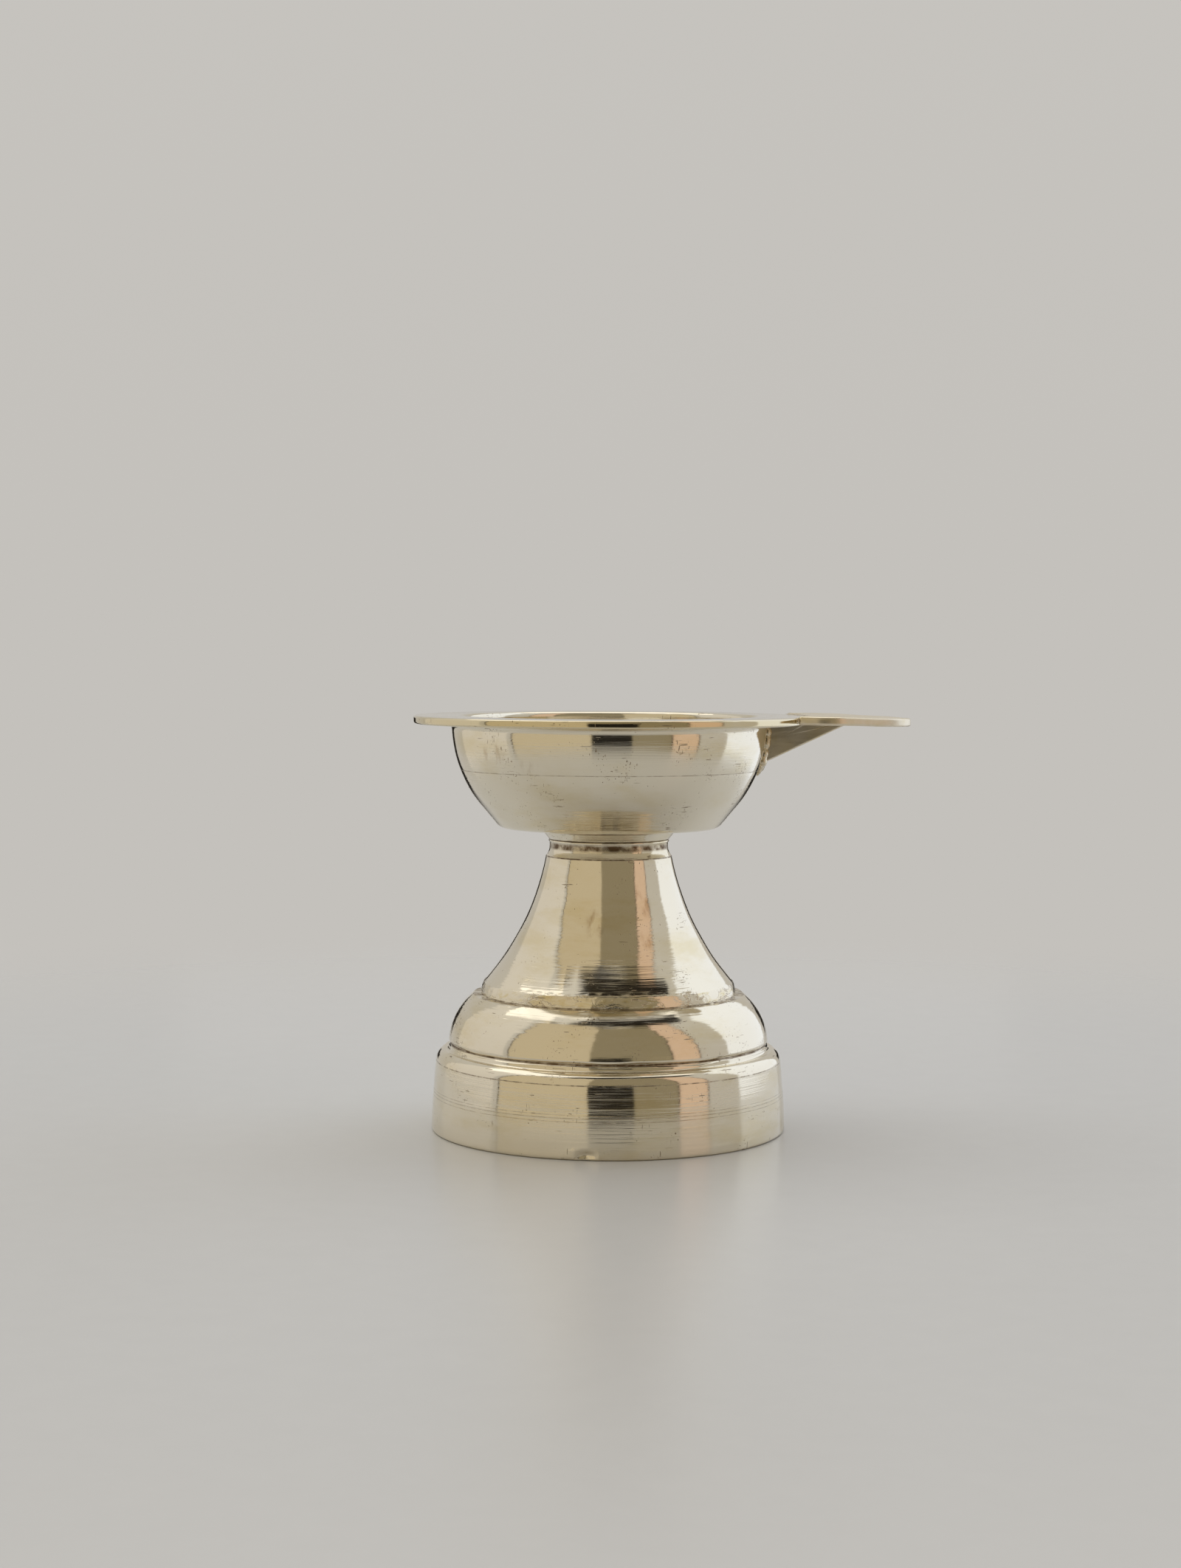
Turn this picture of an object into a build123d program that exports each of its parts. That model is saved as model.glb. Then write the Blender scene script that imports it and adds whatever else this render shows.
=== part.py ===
from build123d import *
from math import asin, cos, degrees, hypot, radians, sin, sqrt, tan
import os

os.makedirs("parts", exist_ok=True)

# All sizes are in millimetres. Z is up from the table, the axis of the lamp is Z, and the thumb tab points to +X.

# Pedestal: foot band, ledge, shoulder, collar, stem, cove and neck ring, from the table up
foot_radius = 21.4
band_height = 8.4
band_draw = 0.55
band_bulge = 0.08
ledge_height = 9.8
ledge_land = 0.5
ledge_round = 0.28
shoulder_radius = 19.3
groove_rise = 0.75
groove_width = 0.5
groove_depth = 0.3
shoulder_height = 16.4
shoulder_top_radius = 16.3
shoulder_bulge = 0.68
collar_radius = 15.4
collar_draw = 0.35
collar_height = 1.5
stem_hollow = 1.12
stem_top_radius = 7.62
cove_height = 1.7
cove_depth = 0.2
cove_round = 0.5
neck_radius = 7.3
neck_height = 35.13
neck_ring = 0.35
neck_ring_round = 0.12
pedestal_wall = 1.9
boss_depth = 11.0
foot_edge = 0.3

# Screwed joint at the neck
thread_diameter = 8.0
thread_clearance = 0.05
thread_engagement = 7.0
stud_hold = 1.6
stud_chamfer = 0.5

# Cup: bowl, heel, underside, foot and rim
bowl_radius = 19.0
bowl_centre = 3.5
heel_angle = 40.0
heel_run = 3.28
heel_round = 1.2
underside_slope = 4.5
cup_foot_height = 1.0
cup_foot_flare = 0.8
floor_angle = 48.0
floor_round = 3.65
cup_wall = 1.35
rim_width = 4.6
rim_thickness = 1.0
rim_edge = 0.3
lip_round = 0.5
rim_root = 0.8

# Thumb tab, support rib and their brazed joints
tab_reach = 12.7
tab_half_width = 9.7
tab_swell = 1.6
tab_corner = 5.0
tab_nose = 6.5
tab_root_half = 8.4
tab_root_depth = 5.0
tab_thickness = 1.0
tab_rise = 0.25
tab_droop = 0.4
tab_edge = 0.28
rib_depth = 4.85
rib_reach = 4.6
rib_end = 0.4
rib_thickness = 1.5
braze_gap = 0.3
bead_radius = 0.85
bead_run = 1.1


def bowed(start, end, rise):
    """Middle of an arc between two points that stands out to the right of its run by rise."""
    run_x = end[0] - start[0]
    run_z = end[1] - start[1]
    run = hypot(run_x, run_z)
    return ((start[0] + end[0]) / 2 + rise * run_z / run, (start[1] + end[1]) / 2 - rise * run_x / run)


def on_arc(centre, radius, angle):
    """Point on the bowl's section, angle degrees below the level of the arc's centre."""
    return (centre[0] + radius * cos(radians(angle)), centre[1] - radius * sin(radians(angle)))


# Pedestal section, worked out from the sizes above
band_foot = (foot_radius, 0)
band_top = (foot_radius - band_draw, band_height)
ledge_outer = (shoulder_radius + ledge_land, ledge_height)
groove_low = (shoulder_radius, ledge_height + groove_rise - groove_width / 2)
groove_high = (shoulder_radius, ledge_height + groove_rise + groove_width / 2)
groove_bed = (shoulder_radius - groove_depth, ledge_height + groove_rise)
shoulder_top = (shoulder_top_radius, shoulder_height)
collar_foot = (collar_radius, shoulder_height)
stem_foot = (collar_radius - collar_draw, shoulder_height + collar_height)
stem_top = (stem_top_radius, neck_height - neck_ring - cove_height)
cove_top = (neck_radius - neck_ring_round, neck_height - neck_ring)
ring_side = (neck_radius, neck_height - neck_ring / 2)
neck_top = (neck_radius - neck_ring_round, neck_height)

# The stem's section is one arc, centred outside it, and the hollow inside keeps the wall even along it
stem_chord = hypot(stem_top[0] - stem_foot[0], stem_top[1] - stem_foot[1])
stem_arc = (stem_chord**2 / 4 + stem_hollow**2) / (2 * stem_hollow)
stem_middle = bowed(stem_foot, stem_top, -stem_hollow)
stem_centre = bowed(stem_foot, stem_top, stem_arc - stem_hollow)
hollow_top = neck_height - boss_depth
hollow_arc = stem_arc + pedestal_wall
hollow_top_radius = stem_centre[0] - sqrt(hollow_arc**2 - (stem_centre[1] - hollow_top) ** 2)
hollow_share = hollow_arc / stem_arc
hollow_waist = (
    stem_centre[0] + (stem_foot[0] - stem_centre[0]) * hollow_share,
    stem_centre[1] + (stem_foot[1] - stem_centre[1]) * hollow_share,
)
hollow_middle_z = (hollow_top + hollow_waist[1]) / 2
hollow_middle = (
    stem_centre[0] - sqrt(hollow_arc**2 - (stem_centre[1] - hollow_middle_z) ** 2),
    hollow_middle_z,
)
hollow_shoulder = (shoulder_radius - pedestal_wall, ledge_height)
hollow_band = (foot_radius - pedestal_wall, band_height - pedestal_wall / 2)

# Cup section: a side arc that is upright under the rim, a straight run to the heel, a near-flat underside
# and a short flared foot. Inside, the side arc turns into the flat floor by a rounded corner.
side_arc = bowl_radius - bowl_centre
cup_foot_radius = neck_radius + cup_foot_flare
heel_radius = (
    bowl_centre + side_arc * cos(radians(heel_angle)) - heel_run * sin(radians(heel_angle))
)
heel_height = neck_height + cup_foot_height + (heel_radius - cup_foot_radius) * tan(radians(underside_slope))
rim_under = heel_height + heel_run * cos(radians(heel_angle)) + side_arc * sin(radians(heel_angle))
rim_top = rim_under + rim_thickness
rim_radius = bowl_radius + rim_width
side_centre = (bowl_centre, rim_under)
inner_side = side_arc - cup_wall
floor_centre = on_arc(side_centre, inner_side - floor_round, floor_angle)

# Thumb tab section
tab_root = rim_radius - tab_root_depth
tab_tip = rim_radius + tab_reach
tab_top = rim_top + tab_rise
tab_under = tab_top - tab_thickness


with BuildPart() as pedestal:
    with BuildSketch(Plane.XZ):
        with BuildLine():
            Polyline((0, neck_height), (0, 0), band_foot)
            ThreePointArc(band_foot, bowed(band_foot, band_top, band_bulge), band_top)
            ThreePointArc(band_top, bowed(band_top, ledge_outer, ledge_round), ledge_outer)
            Polyline(ledge_outer, (shoulder_radius, ledge_height), groove_low)
            ThreePointArc(groove_low, groove_bed, groove_high)
            ThreePointArc(groove_high, bowed(groove_high, shoulder_top, shoulder_bulge), shoulder_top)
            Polyline(shoulder_top, collar_foot, stem_foot)
            ThreePointArc(stem_foot, stem_middle, stem_top)
            ThreePointArc(stem_top, bowed(stem_top, cove_top, -cove_depth), cove_top)
            ThreePointArc(cove_top, ring_side, neck_top)
            Line(neck_top, (0, neck_height))
        make_face()
    revolve(axis=Axis.Z)
    with BuildSketch(Plane.XZ):
        with BuildLine():
            Polyline((0, 0), (0, hollow_top), (hollow_top_radius, hollow_top))
            ThreePointArc((hollow_top_radius, hollow_top), hollow_middle, hollow_waist)
            Polyline(hollow_waist, hollow_shoulder, hollow_band, (hollow_band[0], 0), (0, 0))
        make_face()
    revolve(axis=Axis.Z, mode=Mode.SUBTRACT)
    with BuildSketch(Plane.XY.offset(hollow_top)):
        Circle(thread_diameter / 2)
    extrude(amount=boss_depth, mode=Mode.SUBTRACT)
    turned_edges = pedestal.edges().filter_by(GeomType.CIRCLE)
    fillet(turned_edges.group_by(Axis.Z)[0], foot_edge)
    fillet(turned_edges.filter_by(lambda e: abs(e.arc_center.Z - stem_top[1]) < 0.01), cove_round)
pedestal.part.label = "pedestal"
export_step(pedestal.part, "parts/pedestal.step")


with BuildPart() as cup:
    with BuildSketch(Plane.XZ):
        with BuildLine():
            Polyline(
                (0, rim_top),
                (0, neck_height),
                (neck_radius, neck_height),
                (cup_foot_radius, neck_height + cup_foot_height),
                (heel_radius, heel_height),
                on_arc(side_centre, side_arc, heel_angle),
            )
            ThreePointArc(
                on_arc(side_centre, side_arc, heel_angle),
                on_arc(side_centre, side_arc, heel_angle / 2),
                (bowl_radius, rim_under),
            )
            Polyline((bowl_radius, rim_under), (rim_radius, rim_under), (rim_radius, rim_top), (0, rim_top))
        make_face()
    revolve(axis=Axis.Z)
    with BuildSketch(Plane.XZ):
        with BuildLine():
            Polyline((0, rim_top), (0, floor_centre[1] - floor_round), on_arc(floor_centre, floor_round, 90))
            ThreePointArc(
                on_arc(floor_centre, floor_round, 90),
                on_arc(floor_centre, floor_round, (90 + floor_angle) / 2),
                on_arc(floor_centre, floor_round, floor_angle),
            )
            ThreePointArc(
                on_arc(side_centre, inner_side, floor_angle),
                on_arc(side_centre, inner_side, floor_angle / 2),
                (bowl_radius - cup_wall, rim_under),
            )
            Polyline((bowl_radius - cup_wall, rim_under), (bowl_radius - cup_wall, rim_top), (0, rim_top))
        make_face()
    revolve(axis=Axis.Z, mode=Mode.SUBTRACT)
    with BuildSketch(Plane.XY.offset(neck_height)):
        Circle(thread_diameter / 2)
    extrude(amount=stud_hold, mode=Mode.SUBTRACT)
    rim_circles = cup.edges().filter_by(GeomType.CIRCLE)
    fillet(rim_circles.filter_by(lambda e: abs(e.radius - rim_radius) < 0.01), rim_edge)
    heel = cup.edges().filter_by(GeomType.CIRCLE).filter_by(lambda e: abs(e.arc_center.Z - heel_height) < 0.01)
    fillet(heel, heel_round)
    lip = cup.edges().filter_by(GeomType.CIRCLE).group_by(Axis.Z)[-1].sort_by(lambda e: e.radius)[0]
    fillet(lip, lip_round)
    root = cup.edges().filter_by(GeomType.CIRCLE).filter_by(
        lambda e: abs(e.radius - bowl_radius) < 0.01 and abs(e.arc_center.Z - rim_under) < 0.01
    )
    fillet(root, rim_root)
cup.part.label = "cup"
export_step(cup.part, "parts/cup.step")


# The stud fills the blind hole in the cup and reaches down the tapped bore of the neck
with BuildPart() as stud:
    with BuildSketch(Plane.XY.offset(neck_height - thread_engagement)):
        Circle(thread_diameter / 2 - thread_clearance)
    extrude(amount=thread_engagement + stud_hold)
    chamfer(stud.edges().group_by(Axis.Z)[0], stud_chamfer)
stud.part.label = "threaded_stud"
export_step(stud.part, "parts/threaded_stud.step")


# The tab is a plate with a slight droop, cut to a tongue, with its root hollowed to follow the rim
with BuildPart() as tab:
    with BuildSketch(Plane.XZ):
        with BuildLine():
            TangentArc((tab_root, tab_top), (tab_tip, tab_top - tab_droop), tangent=(1, 0))
            Line((tab_tip, tab_top - tab_droop), (tab_tip, tab_under - tab_droop))
            TangentArc((tab_root, tab_under), (tab_tip, tab_under - tab_droop), tangent=(1, 0))
            Line((tab_root, tab_under), (tab_root, tab_top))
        make_face()
    extrude(amount=2 * tab_half_width, both=True)
    with BuildSketch(Plane.XY.offset(tab_under - 2 * tab_droop)) as tongue:
        with Locations((tab_tip - tab_nose, 0)):
            Circle(tab_nose)
        corner_y = tab_half_width - tab_corner
        with Locations((rim_radius + tab_swell, corner_y), (rim_radius + tab_swell, -corner_y)):
            Circle(tab_corner)
        with Locations((tab_root + tab_swell, 0)):
            Rectangle(2 * tab_swell, 2 * tab_root_half)
        make_hull(tongue.edges())
    extrude(amount=tab_thickness + 4 * tab_droop, mode=Mode.INTERSECT)
    tab_faces = tab.faces().sort_by(Axis.Z)
    tab_rims = tab_faces[-1].edges() + tab_faces[0].edges()
    fillet(tab_rims.filter_by(lambda e: e.center().X > tab_root + 0.1), tab_edge)
    with BuildSketch(Plane.XY.offset(tab_under - 2 * tab_droop)):
        Circle(rim_radius + braze_gap)
    extrude(amount=tab_thickness + 4 * tab_droop, mode=Mode.SUBTRACT)
tab.part.label = "thumb_tab"
export_step(tab.part, "parts/thumb_tab.step")


# Filler in the joint between the rim's edge and the tab's root
with BuildPart() as tab_braze:
    seam_half = asin((tab_half_width - rim_edge) / (rim_radius + braze_gap))
    seam_out = (cos(seam_half), -sin(seam_half), 0)
    seam_side = (-sin(seam_half), -cos(seam_half), 0)
    with BuildSketch(Plane(origin=(0, 0, 0), x_dir=seam_out, z_dir=seam_side)):
        with Locations((rim_radius - rim_edge / 2 + braze_gap / 2, (tab_under + rim_top) / 2)):
            Rectangle(braze_gap + rim_edge, rim_top - tab_under)
    revolve(axis=Axis.Z, revolution_arc=2 * degrees(seam_half))
    add(cup.part, mode=Mode.SUBTRACT)
    add(tab.part, mode=Mode.SUBTRACT)
tab_braze.part.label = "tab_braze"
export_step(tab_braze.part, "parts/tab_braze.step")


# The rib stands in the gap between bowl, rim and tab, and its edges follow all three
with BuildPart() as rib:
    toe_angle = degrees(asin(rib_depth / side_arc))
    mid_wall = side_arc - cup_wall / 2
    rib_top = rim_under + rim_thickness / 2
    rib_tip = rim_radius + rib_reach
    with BuildSketch(Plane.XZ):
        with BuildLine():
            ThreePointArc(
                on_arc(side_centre, mid_wall, 0),
                on_arc(side_centre, mid_wall, toe_angle / 2),
                on_arc(side_centre, mid_wall, toe_angle),
            )
            Polyline(
                on_arc(side_centre, mid_wall, toe_angle),
                on_arc(side_centre, side_arc, toe_angle),
                (rib_tip, tab_under - rib_end),
                (rib_tip, rib_top),
                (on_arc(side_centre, mid_wall, 0)[0], rib_top),
                on_arc(side_centre, mid_wall, 0),
            )
        make_face()
    extrude(amount=rib_thickness / 2, both=True)
    add(cup.part, mode=Mode.SUBTRACT)
    add(tab.part, mode=Mode.SUBTRACT)
    add(tab_braze.part, mode=Mode.SUBTRACT)
rib.part.label = "support_rib"
export_step(rib.part, "parts/support_rib.step")


# One bead runs down each side of the rib's root, and the two join below its toe
with BuildPart() as rib_braze:
    bead_end = toe_angle + degrees(bead_run / side_arc)
    bead_axis = Axis((side_centre[0], 0, side_centre[1]), (0, 1, 0))
    for side in (1, -1):
        with BuildSketch(Plane.XY.offset(rim_under)):
            with Locations((bowl_radius, side * rib_thickness / 2)):
                Circle(bead_radius)
        revolve(axis=bead_axis, revolution_arc=bead_end)
    with Locations((on_arc(side_centre, side_arc, bead_end)[0], 0, on_arc(side_centre, side_arc, bead_end)[1])):
        Sphere(bead_radius)
    add(cup.part, mode=Mode.SUBTRACT)
    add(rib.part, mode=Mode.SUBTRACT)
rib_braze.part.label = "rib_braze"
export_step(rib_braze.part, "parts/rib_braze.step")
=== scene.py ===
import math

import bmesh
import bpy
import numpy as np
from mathutils import Matrix, Vector


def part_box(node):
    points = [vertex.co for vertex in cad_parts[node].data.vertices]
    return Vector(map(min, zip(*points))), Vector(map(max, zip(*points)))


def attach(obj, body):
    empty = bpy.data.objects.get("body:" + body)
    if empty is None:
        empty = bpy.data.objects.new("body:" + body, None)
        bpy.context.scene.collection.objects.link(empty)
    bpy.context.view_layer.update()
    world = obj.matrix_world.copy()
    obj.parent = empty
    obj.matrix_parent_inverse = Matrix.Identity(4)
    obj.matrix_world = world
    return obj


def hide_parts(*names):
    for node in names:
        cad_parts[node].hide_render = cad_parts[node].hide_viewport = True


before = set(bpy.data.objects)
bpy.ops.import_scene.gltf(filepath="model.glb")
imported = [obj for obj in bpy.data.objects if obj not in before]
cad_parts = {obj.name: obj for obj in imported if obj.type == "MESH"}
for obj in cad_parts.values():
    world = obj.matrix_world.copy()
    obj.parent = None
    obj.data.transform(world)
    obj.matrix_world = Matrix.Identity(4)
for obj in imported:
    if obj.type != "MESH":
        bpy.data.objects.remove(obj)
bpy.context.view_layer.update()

# The lamp's lengths are in millimetres, and MM turns them to metres when a mesh or the camera is made. The
# studio's lengths are in metres.
MM = 0.001
SEED = 11

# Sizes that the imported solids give
pedestal_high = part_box("pedestal")[1] / MM
cup_low, cup_high = (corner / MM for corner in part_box("cup"))
tab_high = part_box("thumb_tab")[1] / MM
stud_low, stud_high = (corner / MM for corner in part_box("threaded_stud"))
foot_radius = pedestal_high.y
neck_height = pedestal_high.z
rim_radius = -cup_low.x
rim_top = cup_high.z
tab_tip = tab_high.x
tab_half_width = tab_high.y
tab_top = tab_high.z
stud_radius = stud_high.x

# Pedestal section, the same as its solid but for the worn fillet at the ledge's inner corner
foot_edge = 0.3
band_top = (20.85, 8.4)
band_bulge = 0.08
ledge_height = 9.8
ledge_round = 0.28
ledge_fillet = (0.5, 0.2)
ledge_fillet_hollow = 0.12
shoulder_radius = 19.3
groove_height = ledge_height + 0.75
groove_half = 0.25
groove_depth = 0.3
shoulder_top = (16.3, 16.4)
shoulder_bulge = 0.68
collar_radius = 15.4
collar_top = (15.05, 17.9)
collar_bulge = 0.1
stem_hollow = 1.12
stem_top = (7.62, neck_height - 2.05)
cove_depth = 0.2
cove_top = (7.18, neck_height - 0.35)
neck_ring_round = 0.12
neck_radius = cove_top[0] + neck_ring_round
bore_radius = 4.0
hollow_top = (8.64, neck_height - 11.0)
hollow_waist = (13.62, 16.65)
hollow_bow = 0.295
hollow_shoulder = (17.4, ledge_height)
hollow_band = (foot_radius - 1.9, 7.45)

# Waves in the pedestal, each (how many, lobes round it, lengths along its section, depth)
pedestal_tool_rings = (30, (0, 1), (0.45, 1.8), 0.0016)
pedestal_buffing = (14, (2, 9), (4, 18), 0.008)
collar_lumps = (60, (16, 90), (0.6, 2.4), 1.0)
shoulder_rings = (20, (0, 3), (0.35, 0.9), 0.006)
shoulder_scars = (18, (12, 50), (0.8, 3.0), 1.0)
groove_wander = (12, (3, 21), (5, 9), 0.07)
collar_edge_wander = (12, (9, 40), (5, 9), 0.03)

# Where they lie, as (middle height, half height), and how deep the lumps and the scars go
collar_lumps_at = ((shoulder_top[1] + collar_top[1]) / 2 + 0.2, 1.2)
shoulder_rings_at = (15.6, 1.3)
shoulder_scars_at = (13.5, 3.2)
groove_wander_at = (groove_height, 0.7)
collar_edge_at = (shoulder_top[1], 0.5)
collar_lump_depth = 0.02
scar_depth = 0.014
scar_least = 0.8

# Chip at the foot's front edge, with the metal that it pushed up beside it, as (middle, half) across and up
chip_bearing = math.radians(-97)
chip_depth = 0.5
chip_width_at = (0, 1.1)
chip_height_at = (0.6, 0.7)
burr_depth = 0.05
burr_width_at = (-1.4, 0.9)
burr_height_at = (0.9, 0.6)

# Cup section, the same as its solid
bowl_radius = 19.0
side_arc = 15.5
heel_angle = math.radians(40)
heel_run = 3.28
heel_round = 1.2
underside_slope = math.radians(4.5)
cup_foot = (neck_radius + 0.8, neck_height + 1.0)
bowl_floor_angle = math.radians(48)
bowl_floor_round = 3.65
cup_wall = 1.35
rim_thickness = 1.0
rim_edge = 0.3
rim_root = 0.8
lip_round = 0.5
socket_depth = 1.6
rim_under = rim_top - rim_thickness
side_centre = (bowl_radius - side_arc, rim_under)
inner_side = side_arc - cup_wall

# Waves in the cup, the line turned round its bowl and the nicks in its rim
cup_tool_rings = (30, (0, 1), (0.45, 1.8), 0.0016)
cup_buffing = (14, (2, 8), (4, 18), 0.006)
bowl_line_height = 43.5
bowl_line_half = 0.25
bowl_line_depth = 0.02
bowl_line_least_radius = 17.6
bowl_line_below_rim = 2.0
socket_margin = 0.5
socket_fade = 1.5
bowl_floor_fade = 0.2
axis_fade = 3.0
nick_count = 9
nick_depths = (0.01, 0.04)
nick_angles = (0.02, 0.06)
nick_reach = 0.8

# Thumb tab, rib and brazed joints
tab_thickness = 1.0
tab_droop = 0.4
tab_edge = 0.28
braze_gap = 0.3
braze_grain = 0.1
rib_thickness = 1.5
rib_toe = 4.85
rib_tip = rim_radius + 4.6
rib_end = 0.4

# Marks on the brass: how big they are in mm along x, y and z, or how many there are to a millimetre
tool_ring_step = 0.3
tool_ring_relief = 0.014
ring_drift = 0.02
tarnish_smear = (12, 12, 4)
mark_patch = 4.0
pits_per_mm = (4.0, 4.0, 4.0)
upright_scratches_per_mm = (6.5, 6.5, 0.5)
level_scratches_per_mm = (0.5, 0.5, 6.5)
dirt_break = 1.1
skin_lumps_per_mm = (0.55, 0.55, 1.2)
dried_runs_per_mm = (0.9, 0.9, 0.2)
plain_smear = 3.0
dried_polish_brown = "#94703a"
# Dark brown of the dirt, also used as painted shade at the collar's foot and under the cup
dirt_and_shade_brown = "#5e4426"


def linear(hex_colour):
    """Linear RGBA of an sRGB hex colour."""
    parts = [int(hex_colour[i:i + 2], 16) / 255 for i in (1, 3, 5)]
    return tuple(c / 12.92 if c <= 0.04045 else ((c + 0.055) / 1.055) ** 2.4 for c in parts) + (1.0,)


def add_node(tree, kind, inputs=None, **settings):
    """Adds one node with its settings, and sets or links its inputs."""
    made = tree.nodes.new(kind)
    for name, value in settings.items():
        setattr(made, name, value)
    for name, value in (inputs or {}).items():
        if isinstance(value, bpy.types.NodeSocket):
            tree.links.new(value, made.inputs[name])
        else:
            made.inputs[name].default_value = value
    return made


def new_material(name):
    """An empty material with its node tree."""
    made = bpy.data.materials.new(name)
    made.use_nodes = True
    made.node_tree.nodes.clear()
    return made, made.node_tree


def maths(tree, operation, *values):
    """Arithmetic on sockets or numbers."""
    return add_node(tree, "ShaderNodeMath", dict(enumerate(values)), operation=operation).outputs[0]


def vector_maths(tree, operation, *values):
    """Arithmetic on sockets or vectors."""
    return add_node(tree, "ShaderNodeVectorMath", dict(enumerate(values)), operation=operation).outputs[0]


def length_of(tree, vector):
    """Length of a vector."""
    return add_node(tree, "ShaderNodeVectorMath", {0: vector}, operation="LENGTH").outputs["Value"]


def noise(tree, vector, scale, detail, roughness, distortion=0.0):
    """Cloudy grey noise round 0.5."""
    made = add_node(
        tree,
        "ShaderNodeTexNoise",
        {
            "Vector": vector,
            "Scale": scale,
            "Detail": detail,
            "Roughness": roughness,
            "Distortion": distortion,
        },
    )
    return made.outputs["Fac"]


def ramp(tree, value, start, end, low=0.0, high=1.0, smooth=False):
    """Goes from low to high as the value goes from start to end, and stays level beyond them."""
    made = add_node(
        tree,
        "ShaderNodeMapRange",
        {"Value": value, "From Min": start, "From Max": end, "To Min": low, "To Max": high},
        interpolation_type="SMOOTHSTEP" if smooth else "LINEAR",
    )
    return made.outputs[0]


def blend(tree, amount, first, second):
    """Blends two colours, each a socket or linear RGBA."""
    made = add_node(tree, "ShaderNodeMix", {"Factor": amount, "A": first, "B": second}, data_type="RGBA")
    return made.outputs["Result"]


def in_mm(tree):
    """Each point's place on its piece, in mm."""
    place = add_node(tree, "ShaderNodeTexCoord").outputs["Object"]
    return add_node(tree, "ShaderNodeVectorMath", {0: place, "Scale": 1 / MM}, operation="SCALE").outputs[0]


def tool_rings(tree, axes, radius):
    """Fine rings from the lathe. They are about 0.05 mm apart on the real lamp, and drawn wider to show."""
    drift = maths(tree, "MULTIPLY", axes.outputs["X"], ring_drift)
    ring = add_node(tree, "ShaderNodeCombineXYZ", {"X": radius, "Y": axes.outputs["Z"], "Z": drift})
    return noise(tree, ring.outputs[0], 1 / tool_ring_step, 3.0, 0.6)


def tarnish_smears(tree, mm):
    """Warm tarnish in long low smears, drawn out round the lamp by the buff."""
    wiped = vector_maths(tree, "MULTIPLY", mm, tuple(1 / size for size in tarnish_smear))
    return ramp(tree, noise(tree, wiped, 1.0, 6.0, 0.62), 0.45, 0.75, high=0.5, smooth=True)


def wear_marks(tree, mm, patches):
    """Casting pits, and scratches that run up or round the lamp, closer together in patches."""
    reach = ramp(tree, patches, 0.45, 0.7, -0.06, 0.08)
    dirt_and_shade = 0.0
    for marks_per_mm in (pits_per_mm, upright_scratches_per_mm, level_scratches_per_mm):
        marks = noise(tree, vector_maths(tree, "MULTIPLY", mm, marks_per_mm), 1.0, 1.0, 0.5)
        shown = ramp(tree, maths(tree, "ADD", marks, reach), 0.735, 0.79, high=0.7, smooth=True)
        dirt_and_shade = maths(tree, "MAXIMUM", dirt_and_shade, shown)
    return dirt_and_shade


def dried_polish_and_shade(tree, mm, height, dirt_and_shade, dirt_and_shade_lines):
    """Adds to the dirt the polish that dried in grooves and corners, and painted shade in rings under an
    overhang, broken along their length.
    """
    broken = noise(tree, mm, 1 / dirt_break, 3.0, 0.6)
    for middle, half, least, most in dirt_and_shade_lines:
        kept = ramp(tree, broken, 0.35, 0.6, least, most)
        away = maths(tree, "ABSOLUTE", maths(tree, "SUBTRACT", height, middle))
        near = ramp(tree, away, half, half * 0.3, smooth=True)
        dirt_and_shade = maths(tree, "MAXIMUM", dirt_and_shade, maths(tree, "MULTIPLY", near, kept))
    return dirt_and_shade


def mould_skin(tree, mm, height, patches, cast_ring):
    """Rough skin of the mould on the ring that the tool missed.

    Gives where the skin is, its soft lumps, and its folds, which come in patches.
    """
    low, high = cast_ring
    skin = maths(tree, "MULTIPLY", ramp(tree, height, low, low + 0.15), ramp(tree, height, high, high - 0.25))
    pressed = vector_maths(tree, "MULTIPLY", mm, skin_lumps_per_mm)
    lumps = noise(tree, pressed, 1.0, 3.0, 0.55, 0.5)
    away = maths(tree, "ABSOLUTE", maths(tree, "SUBTRACT", lumps, 0.5))
    fold = ramp(tree, away, 0.03, 0.005, smooth=True)
    folds = maths(tree, "MULTIPLY", fold, ramp(tree, patches, 0.42, 0.56))
    return skin, maths(tree, "MULTIPLY", skin, lumps), maths(tree, "MULTIPLY", skin, folds)


def dried_runs(tree, mm, runs):
    """Old polish that ran down and dried: soft upright smears, brown but not sunk."""
    drawn_down = vector_maths(tree, "MULTIPLY", mm, dried_runs_per_mm)
    smear = ramp(tree, noise(tree, drawn_down, 1.0, 3.0, 0.6), 0.42, 0.78, high=0.6, smooth=True)
    brown = 0.0
    for x, y, z, wide, high in runs:
        gap = vector_maths(tree, "SUBTRACT", mm, (x, y, z))
        scaled = vector_maths(tree, "MULTIPLY", gap, (1 / wide, 1 / wide, 1 / high))
        near = ramp(tree, length_of(tree, scaled), 1.0, 0.4, smooth=True)
        brown = maths(tree, "MAXIMUM", brown, maths(tree, "MULTIPLY", near, smear))
    return brown


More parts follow.
